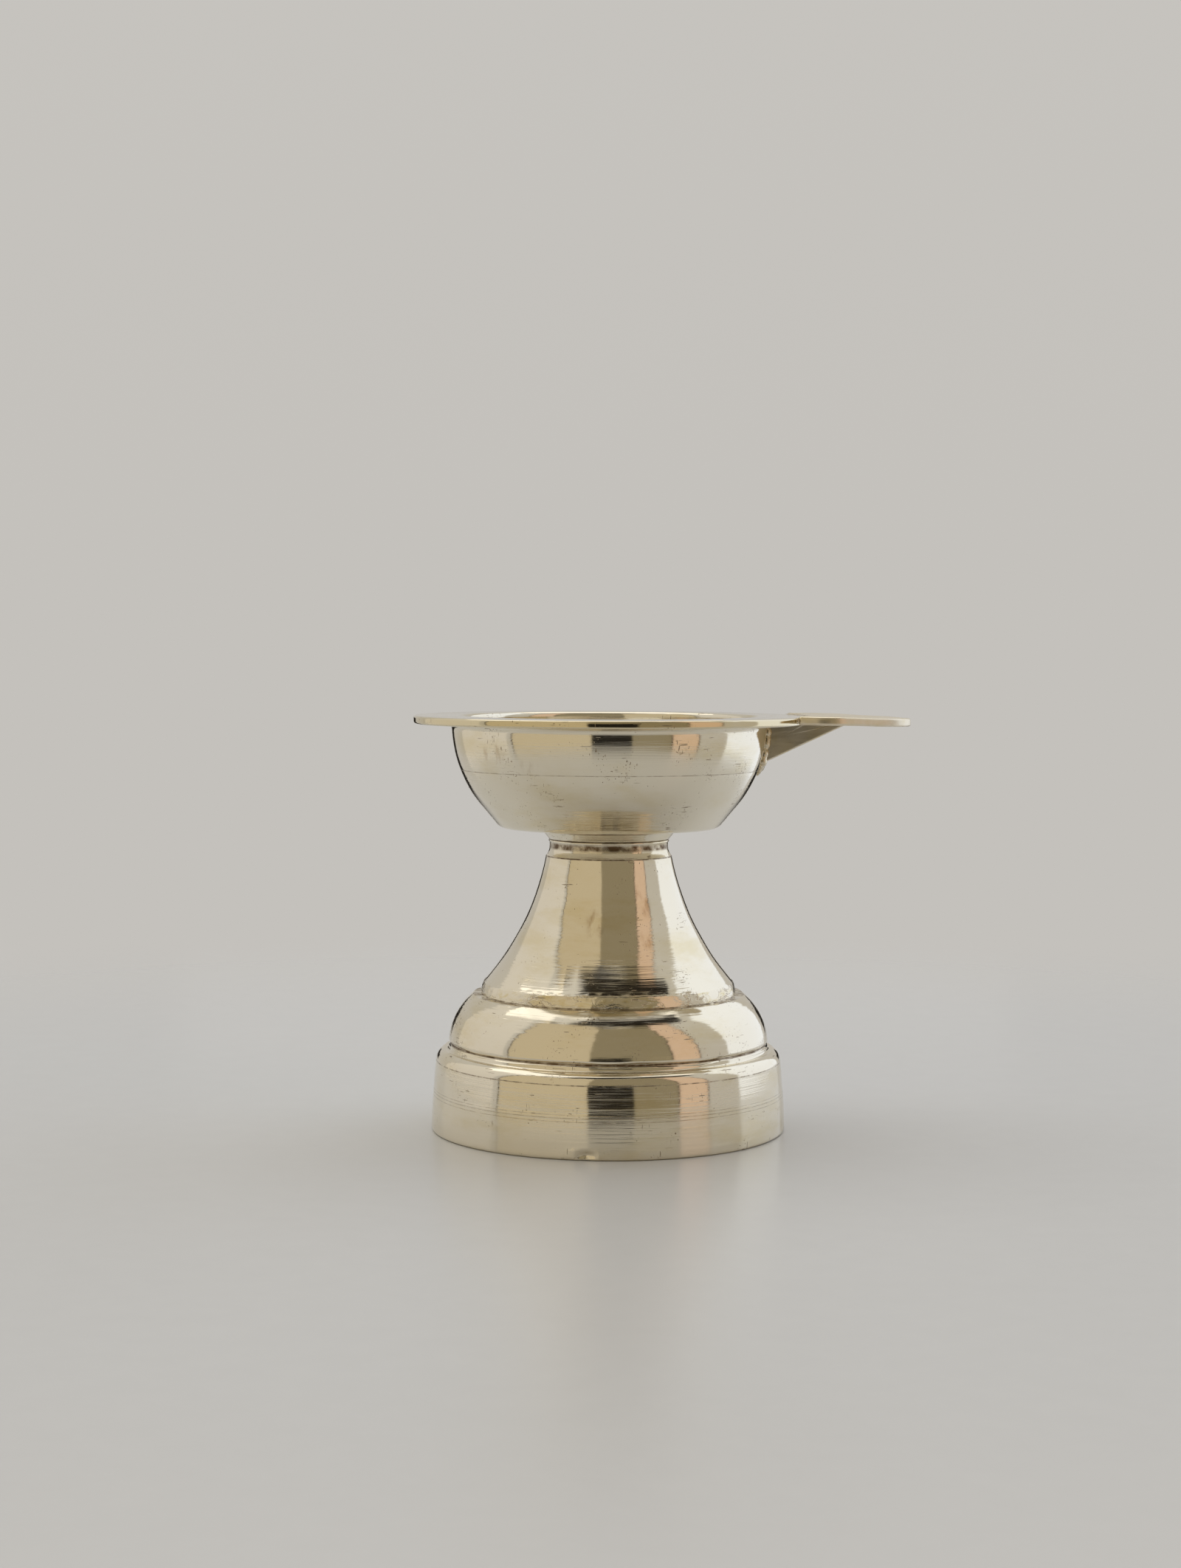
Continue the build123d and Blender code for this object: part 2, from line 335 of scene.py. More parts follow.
def turned_brass(name, pale, warm, dirt_and_shade_lines, runs, cast_ring, worn_edge):
    """Brass casting, turned on a lathe and buffed: near a mirror, combed by fine rings, with warm smears of
    tarnish, brown left in the marks by the polish, and a few scratches.

    The list of dark rings gives (height, half width, least, most) of each, some of them dirt in grooves and
    some painted shade under an overhang, where least and most say how dark they are along their length. runs
    lists (x, y, z, half width, half height) of dried polish. cast_ring is the (low, high) height of a ring
    left rough from the mould, and worn_edge the radius beyond which the metal is browner from handling. All
    lengths are in mm.
    """
    made, tree = new_material(name)
    mm = in_mm(tree)
    axes = add_node(tree, "ShaderNodeSeparateXYZ", {0: mm})
    height = axes.outputs["Z"]
    radius = length_of(tree, vector_maths(tree, "MULTIPLY", mm, (1, 1, 0)))
    patches = noise(tree, mm, 1 / mark_patch, 2.0, 0.5)
    rings = tool_rings(tree, axes, radius)
    dirt_and_shade = dried_polish_and_shade(tree, mm, height, wear_marks(tree, mm, patches), dirt_and_shade_lines)
    skin, skin_lumps, skin_folds = mould_skin(tree, mm, height, patches, cast_ring)

    # Colour: paler where the buff reached, warm in the smears, brown in the marks, and dark brown as painted
    # shade in a few rings
    skin_tan = ramp(tree, skin_lumps, 0.5, 0.7, high=0.8)
    edge_wear = ramp(tree, radius, worn_edge - 0.25, worn_edge, high=0.6)
    warmth = maths(tree, "MAXIMUM", tarnish_smears(tree, mm), skin_tan)
    metal = blend(tree, maths(tree, "MAXIMUM", warmth, edge_wear), linear(pale), linear(warm))
    brown = maths(tree, "MULTIPLY_ADD", skin_folds, 0.4, dried_runs(tree, mm, runs))
    run_on = blend(tree, brown, metal, linear(dried_polish_brown))
    # Dark brown in the dirt marks and grooves, and as painted shade in the rings at the collar's foot and
    # under the cup
    stained_and_shaded = blend(tree, dirt_and_shade, run_on, linear(dirt_and_shade_brown))

    # Finish: rougher on the mould's skin, in the dirt and in the rings of painted shade
    polish = ramp(tree, rings, 0.3, 0.7, 0.05, 0.12)
    rougher = maths(tree, "MULTIPLY_ADD", skin, 0.08, polish)
    dull = maths(tree, "MULTIPLY_ADD", dirt_and_shade, 0.4, rougher)

    # Height, counted in depths of a tool ring
    sunk = maths(tree, "MULTIPLY_ADD", dirt_and_shade, -0.5, rings)
    folded = maths(tree, "MULTIPLY_ADD", skin_folds, -1.5, sunk)
    lumpy = maths(tree, "MULTIPLY_ADD", skin_lumps, 6.0, folded)
    relief = add_node(
        tree, "ShaderNodeBump", {"Height": lumpy, "Strength": 1.0, "Distance": tool_ring_relief * MM}
    )
    round_about = add_node(tree, "ShaderNodeTangent", direction_type="RADIAL", axis="Z")
    surface = add_node(
        tree,
        "ShaderNodeBsdfPrincipled",
        {
            "Base Color": stained_and_shaded,
            "Metallic": 1.0,
            "Roughness": dull,
            "Anisotropic": 0.4,
            "Anisotropic Rotation": 0.25,
            "Normal": relief.outputs[0],
            "Tangent": round_about.outputs[0],
        },
    )
    add_node(tree, "ShaderNodeOutputMaterial", {"Surface": surface.outputs[0]})
    return made


def plain_brass(name, pale, warm, grain, rough, depth):
    """Brass that was not turned: filed plate, braze filler, machined screw or raw casting.

    grain is the size in mm of its marks along x, y and z, rough the range of roughness, and depth the depth
    of the marks.
    """
    made, tree = new_material(name)
    mm = in_mm(tree)
    smears = noise(tree, mm, 1 / plain_smear, 4.0, 0.6)
    drawn = vector_maths(tree, "MULTIPLY", mm, tuple(1 / size for size in grain))
    fine = noise(tree, drawn, 1.0, 4.0, 0.65)
    amount = ramp(tree, smears, 0.38, 0.75, high=0.9, smooth=True)
    relief = add_node(tree, "ShaderNodeBump", {"Height": fine, "Strength": 1.0, "Distance": depth * MM})
    surface = add_node(
        tree,
        "ShaderNodeBsdfPrincipled",
        {
            "Base Color": blend(tree, amount, linear(pale), linear(warm)),
            "Metallic": 1.0,
            "Roughness": ramp(tree, fine, 0.3, 0.7, *rough),
            "Normal": relief.outputs[0],
        },
    )
    add_node(tree, "ShaderNodeOutputMaterial", {"Surface": surface.outputs[0]})
    return made


def trace(points, step=0.05):
    """Even points along a section.

    Each corner is (r, z, rise), and rise bows the run that leads to it out to its right.
    """
    run = []
    for (r0, z0, _), (r1, z1, rise) in zip(points, points[1:]):
        chord = math.hypot(r1 - r0, z1 - z0)
        count = max(2, round(chord / step))
        share = np.arange(count) / count
        if rise:
            arc = (chord**2 / 4 + rise**2) / (2 * abs(rise))
            half = math.asin(min(1.0, chord / 2 / arc))
            turn = (2 * share - 1) * half
            along = chord / 2 + arc * np.sin(turn)
            aside = math.copysign(1, rise) * (arc * np.cos(turn) - arc * math.cos(half))
        else:
            along = share * chord
            aside = 0 * share
        out_r = (r1 - r0) / chord
        out_z = (z1 - z0) / chord
        run.append(np.stack([r0 + along * out_r + aside * out_z, z0 + along * out_z - aside * out_r], 1))
    run.append(np.array([points[-1][:2]]))
    return np.concatenate(run)


def worn(section, closed, reach=3):
    """Rounds the corners of an evenly traced section, as buffing does."""
    weights = np.exp(-np.linspace(-2, 2, 2 * reach + 1) ** 2)
    weights /= weights.sum()
    padded = np.pad(section, ((reach, reach), (0, 0)), mode="wrap" if closed else "edge")
    if not closed:
        padded[:reach] = 2 * section[0] - section[reach:0:-1]
        padded[-reach:] = 2 * section[-1] - section[-2:-reach - 2:-1]
    soft = np.stack([np.convolve(padded[:, i], weights, "valid") for i in (0, 1)], 1)
    if not closed:
        soft[0], soft[-1] = section[0], section[-1]
        soft[:, 0] = np.maximum(soft[:, 0], 0)
    return soft


def run_length(points):
    """Length of a section up to the last of these corners."""
    return float(np.hypot(*np.diff(trace(points), axis=0).T).sum())


def thinned(section, most, bend=math.radians(9)):
    """Indices of the points to keep, so that no run is over most and no turn over bend.

    most gives the longest run, in mm, at a length along the section.
    """
    kept = [0]
    turned = 0.0
    length = 0.0
    total = 0.0
    run = np.diff(section, axis=0)
    angle = np.unwrap(np.arctan2(run[:, 1], run[:, 0]))
    for i in range(1, len(section) - 1):
        step = float(np.hypot(*run[i - 1]))
        length += step
        total += step
        turned += abs(angle[i] - angle[i - 1])
        if length >= most(total) or turned >= bend:
            kept.append(i)
            turned = 0.0
            length = 0.0
    return kept + [len(section) - 1]


def ripples(rng, along, round_angle, count, lobes, lengths, height):
    """Smooth waves over a turned face: lobes times round it, and lengths mm long along its section."""
    total = 0
    for _ in range(count):
        lobe = int(rng.integers(lobes[0], lobes[1] + 1)) * int(rng.choice((-1, 1)))
        length = math.exp(rng.uniform(math.log(lengths[0]), math.log(lengths[1])))
        start = rng.uniform(0, 2 * math.pi)
        total = total + np.cos(lobe * round_angle + 2 * math.pi * along / length + start)
    return height * total / math.sqrt(count / 2)


def hump(value, middle, half):
    """1 at middle, falling smoothly to 0 at half away."""
    return np.clip(1 - ((value - middle) / half) ** 2, 0, 1) ** 2


def mesh_piece(name, points, faces, materials, kinds=None):
    """A smooth-shaded object from points in mm, with one material index per face."""
    mesh = bpy.data.meshes.new(name)
    mesh.from_pydata((np.asarray(points) * MM).tolist(), [], faces)
    for material in materials:
        mesh.materials.append(material)
    if kinds is not None:
        mesh.polygons.foreach_set("material_index", np.asarray(kinds, np.int32))
    mesh.polygons.foreach_set("use_smooth", np.ones(len(mesh.polygons), bool))
    mesh.validate()
    mesh.update()
    made = bpy.data.objects.new(name, mesh)
    bpy.context.scene.collection.objects.link(made)
    return made


def turned_piece(name, section, closed, segments, relief, materials, inside=None):
    """Turns a section round the lamp's axis.

    relief gives the height off the face and the lift, in mm, at each point. Where inside says yes to a length
    along the section, the second material is used.
    """
    rows = section[:-1] if closed else section
    ahead = np.roll(rows, -1, 0) - np.roll(rows, 1, 0)
    if not closed:
        ahead[0] = rows[1] - rows[0]
        ahead[-1] = rows[-1] - rows[-2]
    ahead /= np.hypot(ahead[:, 0], ahead[:, 1])[:, None]
    along = np.concatenate([[0], np.cumsum(np.hypot(*np.diff(rows, axis=0).T))])
    turn = np.arange(segments) * 2 * math.pi / segments
    off, lift = relief(rows, along[:, None], turn[None, :])
    r = np.clip(rows[:, :1] + off * ahead[:, 1:], 0, rows[:, 0].max())
    z = np.clip(rows[:, 1:] - off * ahead[:, :1] + lift + 0 * turn, rows[:, 1].min(), rows[:, 1].max())
    ring = np.stack([r * np.cos(turn), r * np.sin(turn), z], 2)
    points = []
    index = []
    for i, row in enumerate(ring):
        if rows[i, 0] < 1e-6:
            index.append([len(points)] * segments)
            points.append((0, 0, float(row[:, 2].mean())))
        else:
            index.append(list(range(len(points), len(points) + segments)))
            points.extend(map(tuple, row))
    faces = []
    kinds = []
    pairs = list(zip(range(len(rows)), range(1, len(rows)))) + ([(len(rows) - 1, 0)] if closed else [])
    for low, high in pairs:
        kind = int(inside is not None and inside(along[low]))
        for j in range(segments):
            k = (j + 1) % segments
            corners = (index[low][j], index[low][k], index[high][k], index[high][j])
            faces.append(tuple(dict.fromkeys(corners)))
            kinds.append(kind)
    return mesh_piece(name, points, faces, materials, kinds)


def dress(piece, body, slot, *nodes):
    """Puts a finished piece on its body in place of its plain solid."""
    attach(piece, body)
    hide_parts(*nodes)


# Pedestal, cast and turned: a pale mirror, dark in its grooves, with a dull lumpy ring at the collar, and
# painted shade at the collar's foot and under the cup
tool_line_half = 0.07
pedestal_dirt_and_shade_lines = [
    (4.35, tool_line_half, 0.1, 0.4),
    (4.75, tool_line_half, 0.1, 0.45),
    (5.1, tool_line_half, 0.05, 0.35),
    (band_top[1] + 0.05, 0.1, 0.0, 0.7),
    (groove_height, 0.2, 0.6, 0.95),
    # Painted shade: a dark line in the corner at the collar's foot
    (shoulder_top[1] + 0.05, 0.12, 0.1, 0.75),
    (stem_top[1], 0.12, 0.3, 0.9),
    # Painted shade: a wide dark band in the cove under the cup
    (cove_top[1] - 0.4, 0.55, 0.3, 0.95),
    (neck_height, 0.08, 0.5, 0.9),
]
stem_runs = [
    (-1.7, -9.9, 25.8, 1.5, 3.4),
    (3.9, -8.0, 28.6, 1.3, 4.4),
    (4.4, -9.9, 24.4, 1.2, 2.6),
]
pedestal_cast_ring = (shoulder_top[1] - 0.05, collar_top[1] + 0.1)

# Beyond the foot, so the pedestal has no worn edge
no_worn_edge = foot_radius + 1.0
pedestal_brass = turned_brass(
    "turned_cast_brass_pedestal",
    "#e8dfcb",
    "#d6c492",
    pedestal_dirt_and_shade_lines,
    stem_runs,
    pedestal_cast_ring,
    no_worn_edge,
)

# Cup, cast and turned: the same mirror, browner along the rim's edge
cup_dirt_lines = [
    (neck_height, 0.1, 0.3, 0.9),
    (cup_foot[1], 0.12, 0.3, 0.9),
    (bowl_line_height, 0.08, 0.15, 0.5),
]
bowl_runs = [
    (-13.5, -12.6, 46.0, 2.6, 1.6),
    (-9.0, -15.0, 44.5, 2.0, 1.4),
]

# Below the cup, so the cup has no rough ring
no_cast_ring = (0.0, 0.3)
cup_brass = turned_brass(
    "turned_cast_brass_cup",
    "#e7dfcc",
    "#d5c495",
    cup_dirt_lines,
    bowl_runs,
    no_cast_ring,
    rim_radius,
)

# Raw casting in the pedestal's hollow: dull, brown and grainy
raw_brass = plain_brass("raw_cast_brass", "#a88f5f", "#7d6437", (0.9, 0.9, 0.9), (0.45, 0.7), 0.06)

# Plate, filed along its length: satin, so it blurs what it mirrors
plate_brass = plain_brass("filed_plate_brass", "#e4dac6", "#dccfae", (7.0, 0.8, 0.8), (0.26, 0.4), 0.004)

# Filler, as it froze: shiny blobs with brown patches
filler_brass = plain_brass("braze_filler", "#d9ceb6", "#a58c5c", (0.6, 0.6, 0.6), (0.15, 0.35), 0.02)

# Stud, machined and never polished: yellower than the castings, with a soft shine
stud_brass = plain_brass("machined_stud_brass", "#dac695", "#c3a86e", (0.4, 0.4, 0.2), (0.18, 0.32), 0.004)

# Faces round a turned piece, and the longest run along its section
turned_faces = 256
outside_run_most = 0.16
hollow_run_most = 0.7
bowl_inside_run_most = 0.3

# A quarter round of radius 1 rises this far off its chord
quarter_rise = 1 - math.sqrt(0.5)

# Pedestal section: up the outside, down the bore, down the hollow and back under the foot
outside_corners = [
    (foot_radius - foot_edge, 0.0, 0),
    (foot_radius, foot_edge, quarter_rise * foot_edge),
    (*band_top, band_bulge),
    (shoulder_radius + ledge_fillet[0], ledge_height, ledge_round),
    (shoulder_radius, ledge_height + ledge_fillet[1], -ledge_fillet_hollow),
    (shoulder_radius, groove_height - groove_half, 0),
    (shoulder_radius, groove_height + groove_half, -groove_depth),
    (*shoulder_top, shoulder_bulge),
    (collar_radius, shoulder_top[1], 0),
    (*collar_top, collar_bulge),
    (*stem_top, -stem_hollow),
    (*cove_top, -cove_depth),
    (cove_top[0], neck_height, neck_ring_round),
]
bore_corners = [
    (bore_radius, neck_height, 0),
    (bore_radius, hollow_top[1], 0),
]
hollow_corners = [
    (*hollow_top, 0),
    (*hollow_waist, hollow_bow),
    (*hollow_shoulder, 0),
    (*hollow_band, 0),
    (hollow_band[0], foot_edge, 0),
]
foot_corners = [
    (hollow_band[0] + foot_edge, 0.0, quarter_rise * foot_edge),
    (foot_radius - foot_edge, 0.0, 0),
]
outside_run = run_length(outside_corners)
raw_run = run_length(outside_corners + bore_corners)
foot_run = run_length(outside_corners + bore_corners + hollow_corners)


def pedestal_relief(rows, along, turn):
    """Tool rings, soft waves, a lumpy collar, a scarred shoulder, a wandering groove and a chipped foot."""
    rng = np.random.default_rng(SEED)
    z = rows[:, 1:]
    outside = (along < outside_run).astype(float)
    off = ripples(rng, along, turn, *pedestal_tool_rings)
    off = off + ripples(rng, along, turn, *pedestal_buffing)
    off = off + collar_lump_depth * hump(z, *collar_lumps_at) * ripples(rng, along, turn, *collar_lumps)
    off = off + hump(z, *shoulder_rings_at) * ripples(rng, along, turn, *shoulder_rings)
    scars = np.clip(ripples(rng, along, turn, *shoulder_scars) - scar_least, 0, 1)
    off = off - scar_depth * hump(z, *shoulder_scars_at) * scars
    lift = ripples(rng, 0 * along, turn, *groove_wander) * hump(z, *groove_wander_at) * outside
    edge_wave = ripples(rng, 0 * along, turn, *collar_edge_wander)
    lift = lift + edge_wave * hump(z, *collar_edge_at) * outside
    chip_way = ((turn - chip_bearing + math.pi) % (2 * math.pi) - math.pi) * foot_radius
    off = off - chip_depth * hump(chip_way, *chip_width_at) * hump(z, *chip_height_at)
    off = off + burr_depth * hump(chip_way, *burr_width_at) * hump(z, *burr_height_at)
    return off * outside, lift


pedestal_line = worn(trace(outside_corners + bore_corners + hollow_corners + foot_corners), True)
pedestal_line = pedestal_line[
    thinned(pedestal_line, lambda along: outside_run_most if along < outside_run else hollow_run_most)
]
pedestal = turned_piece(
    "pedestal_turned",
    pedestal_line,
    True,
    turned_faces,
    pedestal_relief,
    [pedestal_brass, raw_brass],
    lambda along: raw_run < along < foot_run,
)
dress(pedestal, "pedestal", "cast_brass", "pedestal")


# Cup
def on_side(radius, angle):
    """A point on the bowl's side, at an angle down from the rim."""
    return (side_centre[0] + radius * math.cos(angle), side_centre[1] - radius * math.sin(angle))


def arc_rise(radius, swing):
    """How far an arc rises off its chord."""
    return radius * (1 - math.cos(swing / 2))


# The wall runs straight from the side arc to the heel, which is rounded off between it and the underside
heel_turn = math.pi / 2 - heel_angle - underside_slope
heel_cut = heel_round * math.tan(heel_turn / 2)
wall_foot = on_side(side_arc, heel_angle)
heel = (
    wall_foot[0] - heel_run * math.sin(heel_angle),
    wall_foot[1] - heel_run * math.cos(heel_angle),
)
bowl_floor_middle = on_side(inner_side - bowl_floor_round, bowl_floor_angle)
bowl_floor_height = bowl_floor_middle[1] - bowl_floor_round

outer_corners = [
    (0.0, neck_height + socket_depth, 0),
    (bore_radius, neck_height + socket_depth, 0),
    (bore_radius, neck_height, 0),
    (neck_radius, neck_height, 0),
    (*cup_foot, 0),
    (heel[0] - heel_cut * math.cos(underside_slope), heel[1] - heel_cut * math.sin(underside_slope), 0),
    (
        heel[0] + heel_cut * math.sin(heel_angle),
        heel[1] + heel_cut * math.cos(heel_angle),
        arc_rise(heel_round, heel_turn),
    ),
    (*wall_foot, 0),
    (*on_side(side_arc, rim_root / side_arc), arc_rise(side_arc, heel_angle - rim_root / side_arc)),
    (bowl_radius + rim_root, rim_under, -quarter_rise * rim_root),
]
rim_corners = [
    (rim_radius - rim_edge, rim_under, 0),
    (rim_radius, rim_under + rim_edge, quarter_rise * rim_edge),
    (rim_radius, rim_top - rim_edge, 0),
    (rim_radius - rim_edge, rim_top, quarter_rise * rim_edge),
    (bowl_radius - cup_wall + lip_round, rim_top, 0),
    (bowl_radius - cup_wall, rim_top - lip_round, quarter_rise * lip_round),
]
inner_corners = [
    (bowl_radius - cup_wall, rim_under, 0),
    (*on_side(inner_side, bowl_floor_angle), -arc_rise(inner_side, bowl_floor_angle)),
    (bowl_floor_middle[0], bowl_floor_height, -arc_rise(bowl_floor_round, math.pi / 2 - bowl_floor_angle)),
    (0.0, bowl_floor_height, 0),
]
bowl_run = run_length(outer_corners)


def cup_relief(rows, along, turn):
    """Tool rings, soft waves, a turned line round the bowl and a few nicks on the rim's edge."""
    rng = np.random.default_rng(SEED + 1)
    r, z = rows[:, :1], rows[:, 1:]
    past_socket = np.clip((r - bore_radius - socket_margin) / socket_fade, 0, 1)
    above_floor = np.clip((z - bowl_floor_height) / bowl_floor_fade, 0, 1)
    off = ripples(rng, along, turn, *cup_tool_rings)
    off = off + ripples(rng, along, turn, *cup_buffing)
    off = off * np.clip(past_socket + above_floor, 0, 1) * np.clip(r / axis_fade, 0, 1)
    outside = ((r > bowl_line_least_radius) & (z < rim_under - bowl_line_below_rim)).astype(float)
    off = off - bowl_line_depth * hump(z, bowl_line_height, bowl_line_half) * outside
    edge = hump(r, rim_radius, nick_reach)
    for place in rng.uniform(0, 2 * math.pi, nick_count):
        gap = (turn - place + math.pi) % (2 * math.pi) - math.pi
        off = off - rng.uniform(*nick_depths) * edge * hump(gap, 0, rng.uniform(*nick_angles))
    return off, 0 * off


cup_line = worn(trace(outer_corners + rim_corners + inner_corners), False)
cup_line = cup_line[
    thinned(cup_line, lambda along: outside_run_most if along < bowl_run else bowl_inside_run_most)
]
cup = turned_piece("cup_turned", cup_line, False, turned_faces, cup_relief, [cup_brass])
dress(cup, "cup", "cast_brass", "cup")


def filed_plate(name, outline, middle, thickness, edge, place, material):
    """A flat plate with rounded edges.

    outline and middle are in the plate's own plane, and place turns them and a height to x, y and z.
    """
    face_rings = 12
    edge_rings = 5
    outline = np.asarray(outline)
    middle = np.asarray(middle)
    ahead = np.roll(outline, -1, 0) - np.roll(outline, 1, 0)
    ahead /= np.hypot(ahead[:, 0], ahead[:, 1])[:, None]
    inward = np.stack([-ahead[:, 1], ahead[:, 0]], 1)
    inset = outline + edge * inward
    face = [middle + share * (inset - middle) for share in np.linspace(0, 1, face_rings)[1:-1]]
    rounded = [
        (outline + edge * (1 - math.sin(angle)) * inward, edge * (1 - math.cos(angle)))
        for angle in np.linspace(0, math.pi / 2, edge_rings)
    ]
    loops = [(flat, 0.0) for flat in face]
    loops += rounded
    loops += [(flat, thickness - rise) for flat, rise in reversed(rounded)]
    loops += [(flat, thickness) for flat in reversed(face)]
    count = len(outline)
    points = [place(middle[None, :], 0.0)[0]]
    for flat, height in loops:
        points.extend(place(flat, height))
    points.append(place(middle[None, :], thickness)[0])
    faces = []
    for j in range(count):
        k = (j + 1) % count
        faces.append((0, 1 + k, 1 + j))
        for i in range(len(loops) - 1):
            low = 1 + i * count
            faces.append((low + j, low + k, low + count + k, low + count + j))
        last = 1 + (len(loops) - 1) * count
        faces.append((last + j, last + k, len(points) - 1))
    made = mesh_piece(name, points, faces, [material])
    mended = bmesh.new()
    mended.from_mesh(made.data)
    bmesh.ops.recalc_face_normals(mended, faces=mended.faces)
    mended.to_mesh(made.data)
    mended.free()
    return made


def spaced(points, step):
    """A closed outline as even points."""
    loop = np.vstack([points, points[:1]])
    length = np.concatenate([[0], np.cumsum(np.hypot(*np.diff(loop, axis=0).T))])
    want = np.linspace(0, length[-1], int(length[-1] / step), endpoint=False)
    return np.stack([np.interp(want, length, loop[:, i]) for i in (0, 1)], 1)


# Thumb tab: the outer line round a nose, two corners and a root, cut by the rim
tab_nose = 6.5
tab_corner = 5.0
tab_corner_out = rim_radius + 1.6
tab_root = rim_radius - 5.0
tab_root_half = 8.4
sharp = 0.01
tab_rounds = [
    (tab_tip - tab_nose, 0, tab_nose),
    (tab_corner_out, tab_half_width - tab_corner, tab_corner),
    (tab_corner_out, tab_corner - tab_half_width, tab_corner),
    (tab_root, tab_root_half, sharp),
    (tab_root, -tab_root_half, sharp),
]
tab_ways = 720
tab_fine_step = 0.1
tab_root_points = 60
tab_step = 0.3
tab_middle = (29.0, 0.0)
tab_hollow = 0.12
tab_hollow_spread = 30
tab_waves = (0.02, 0.015)


def tab_outline():
    """Counter-clockwise outline of the tab, from the rim round its nose and back along the rim."""
    ways = np.linspace(-math.pi, math.pi, tab_ways, endpoint=False)
    line = []
    for way in ways:
        out = np.array([math.cos(way), math.sin(way)])
        x, y, radius = max(tab_rounds, key=lambda c: c[0] * out[0] + c[1] * out[1] + c[2])
        line.append((x + radius * out[0], y + radius * out[1]))
    line = spaced(np.array(line), tab_fine_step)
    joint = rim_radius + braze_gap
    free = line[np.hypot(line[:, 0], line[:, 1]) > joint]
    swing = np.arctan2(free[:, 1], free[:, 0])
    free = free[np.argsort(swing)]
    root = np.linspace(swing.max(), swing.min(), tab_root_points)
    return spaced(np.vstack([free, np.stack([joint * np.cos(root), joint * np.sin(root)], 1)]), tab_step)


def tab_place(flat, height):
    """Bends the tab down a little towards its tip, dips its middle and leaves it uneven from the file."""
    x, y = flat[:, 0], flat[:, 1]
    fall = tab_droop * ((x - tab_root) / (tab_tip - tab_root)) ** 2
    uneven = tab_waves[0] * np.cos(0.55 * x + 0.4 * y + 0.6) + tab_waves[1] * np.cos(0.9 * y - 0.5 * x)
    dip = tab_hollow * np.exp(-((x - tab_middle[0]) ** 2 + y**2) / tab_hollow_spread)
    under = tab_top - sum(tab_waves) - tab_thickness
    return np.stack([x, y, under + height - fall - dip + uneven], 1)


tab = filed_plate(
    "thumb_tab_plate", tab_outline(), tab_middle, tab_thickness, tab_edge, tab_place, plate_brass
)
dress(tab, "cup", "sheet_brass", "thumb_tab")


# Support rib: against the bowl, under the rim and the tab
rib_sink = 0.15
rib_edge = 0.18
rib_step = 0.25
rib_wall_points = 14
rib_middle = (21.0, 47.6)
rib_wave = 0.03
toe_angle = math.asin(rib_toe / side_arc)


def rib_outline():
    """Outline of the rib in the plane of the lamp's axis, sunk a little into what it is brazed to."""
    tab_under = tab_top - tab_thickness
    wall_angles = np.linspace(0.0, toe_angle, rib_wall_points)
    line = [on_side(side_arc - rib_sink, angle) for angle in wall_angles]
    line += [
        on_side(side_arc, toe_angle),
        (rib_tip, tab_under - rib_end),
        (rib_tip, tab_under + rib_sink),
        (rim_radius, tab_under + rib_sink),
        (rim_radius, rim_under + rib_sink),
        (bowl_radius - rib_sink, rim_under + rib_sink),
    ]
    return spaced(np.array(line), rib_step)


def rib_place(flat, height):
    """Stands the rib upright in the plane of the lamp's axis, a little uneven from the file."""
    x, z = flat[:, 0], flat[:, 1]
    uneven = rib_wave * np.cos(0.8 * x + 0.7 * z)
    return np.stack([x, height - rib_thickness / 2 + uneven, z], 1)


rib = filed_plate(
    "support_rib_web", rib_outline(), rib_middle, rib_thickness, rib_edge, rib_place, plate_brass
)
dress(rib, "cup", "sheet_brass", "support_rib")


def braze_run(name, drops, material):
    """Filler that froze in drops: each drop is (place, three radii), and all of them flow together."""
    grown = bmesh.new()
    for place, radii in drops:
        shape = Matrix.Translation(Vector(place) * MM) @ Matrix.Diagonal((*(Vector(radii) * MM), 1))
        bmesh.ops.create_icosphere(grown, subdivisions=3, radius=1.0, matrix=shape)
    mesh = bpy.data.meshes.new(name + "_drops")
    grown.to_mesh(mesh)
    grown.free()
    loose = bpy.data.objects.new(name + "_drops", mesh)
    bpy.context.scene.collection.objects.link(loose)
    flow = loose.modifiers.new("flow", "REMESH")
    flow.mode = "VOXEL"
    flow.voxel_size = braze_grain * MM
    calm = loose.modifiers.new("calm", "SMOOTH")
    calm.iterations = 4
    calm.factor = 0.5
    solid = bpy.data.meshes.new_from_object(loose.evaluated_get(bpy.context.evaluated_depsgraph_get()))
    bpy.data.objects.remove(loose)
    solid.name = name
    solid.materials.clear()
    solid.materials.append(material)
    solid.polygons.foreach_set("use_smooth", np.ones(len(solid.polygons), bool))
    made = bpy.data.objects.new(name, solid)
    bpy.context.scene.collection.objects.link(made)
    return made


# Bead down both sides of the rib's root, with the blob below its toe
bead_top_angle = 0.06
bead_count = 9
bead_jitter = 0.012
bead_sizes = (0.45, 0.85)
bead_aside = (-0.1, 0.15)
bead_shape = (0.8, 1.0, 1.0)
blob_angles = (0.0, 0.02, 0.045, 0.07)
blob_size = 0.85
blob_taper = 6
blob_aside = (-0.2, 0.2)
blob_shape = (0.7, 1.3, 1.0)
bead_rng = np.random.default_rng(SEED + 2)
bead_angles = np.linspace(bead_top_angle, toe_angle, bead_count)
rib_drops = []
for side in (1, -1):
    for angle in bead_angles + bead_rng.uniform(-bead_jitter, bead_jitter, bead_count):
        x, z = on_side(side_arc, angle)
        size = bead_rng.uniform(*bead_sizes)
        y = side * (rib_thickness / 2 + bead_rng.uniform(*bead_aside))
        rib_drops.append(((x, y, z), [size * part for part in bead_shape]))
for below in blob_angles:
    x, z = on_side(side_arc, toe_angle + below)
    size = blob_size - blob_taper * below
    y = bead_rng.uniform(*blob_aside)
    rib_drops.append(((x, y, z), [size * part for part in blob_shape]))
rib_braze = braze_run("rib_braze_bead", rib_drops, filler_brass)
dress(rib_braze, "cup", "braze_filler", "rib_braze")

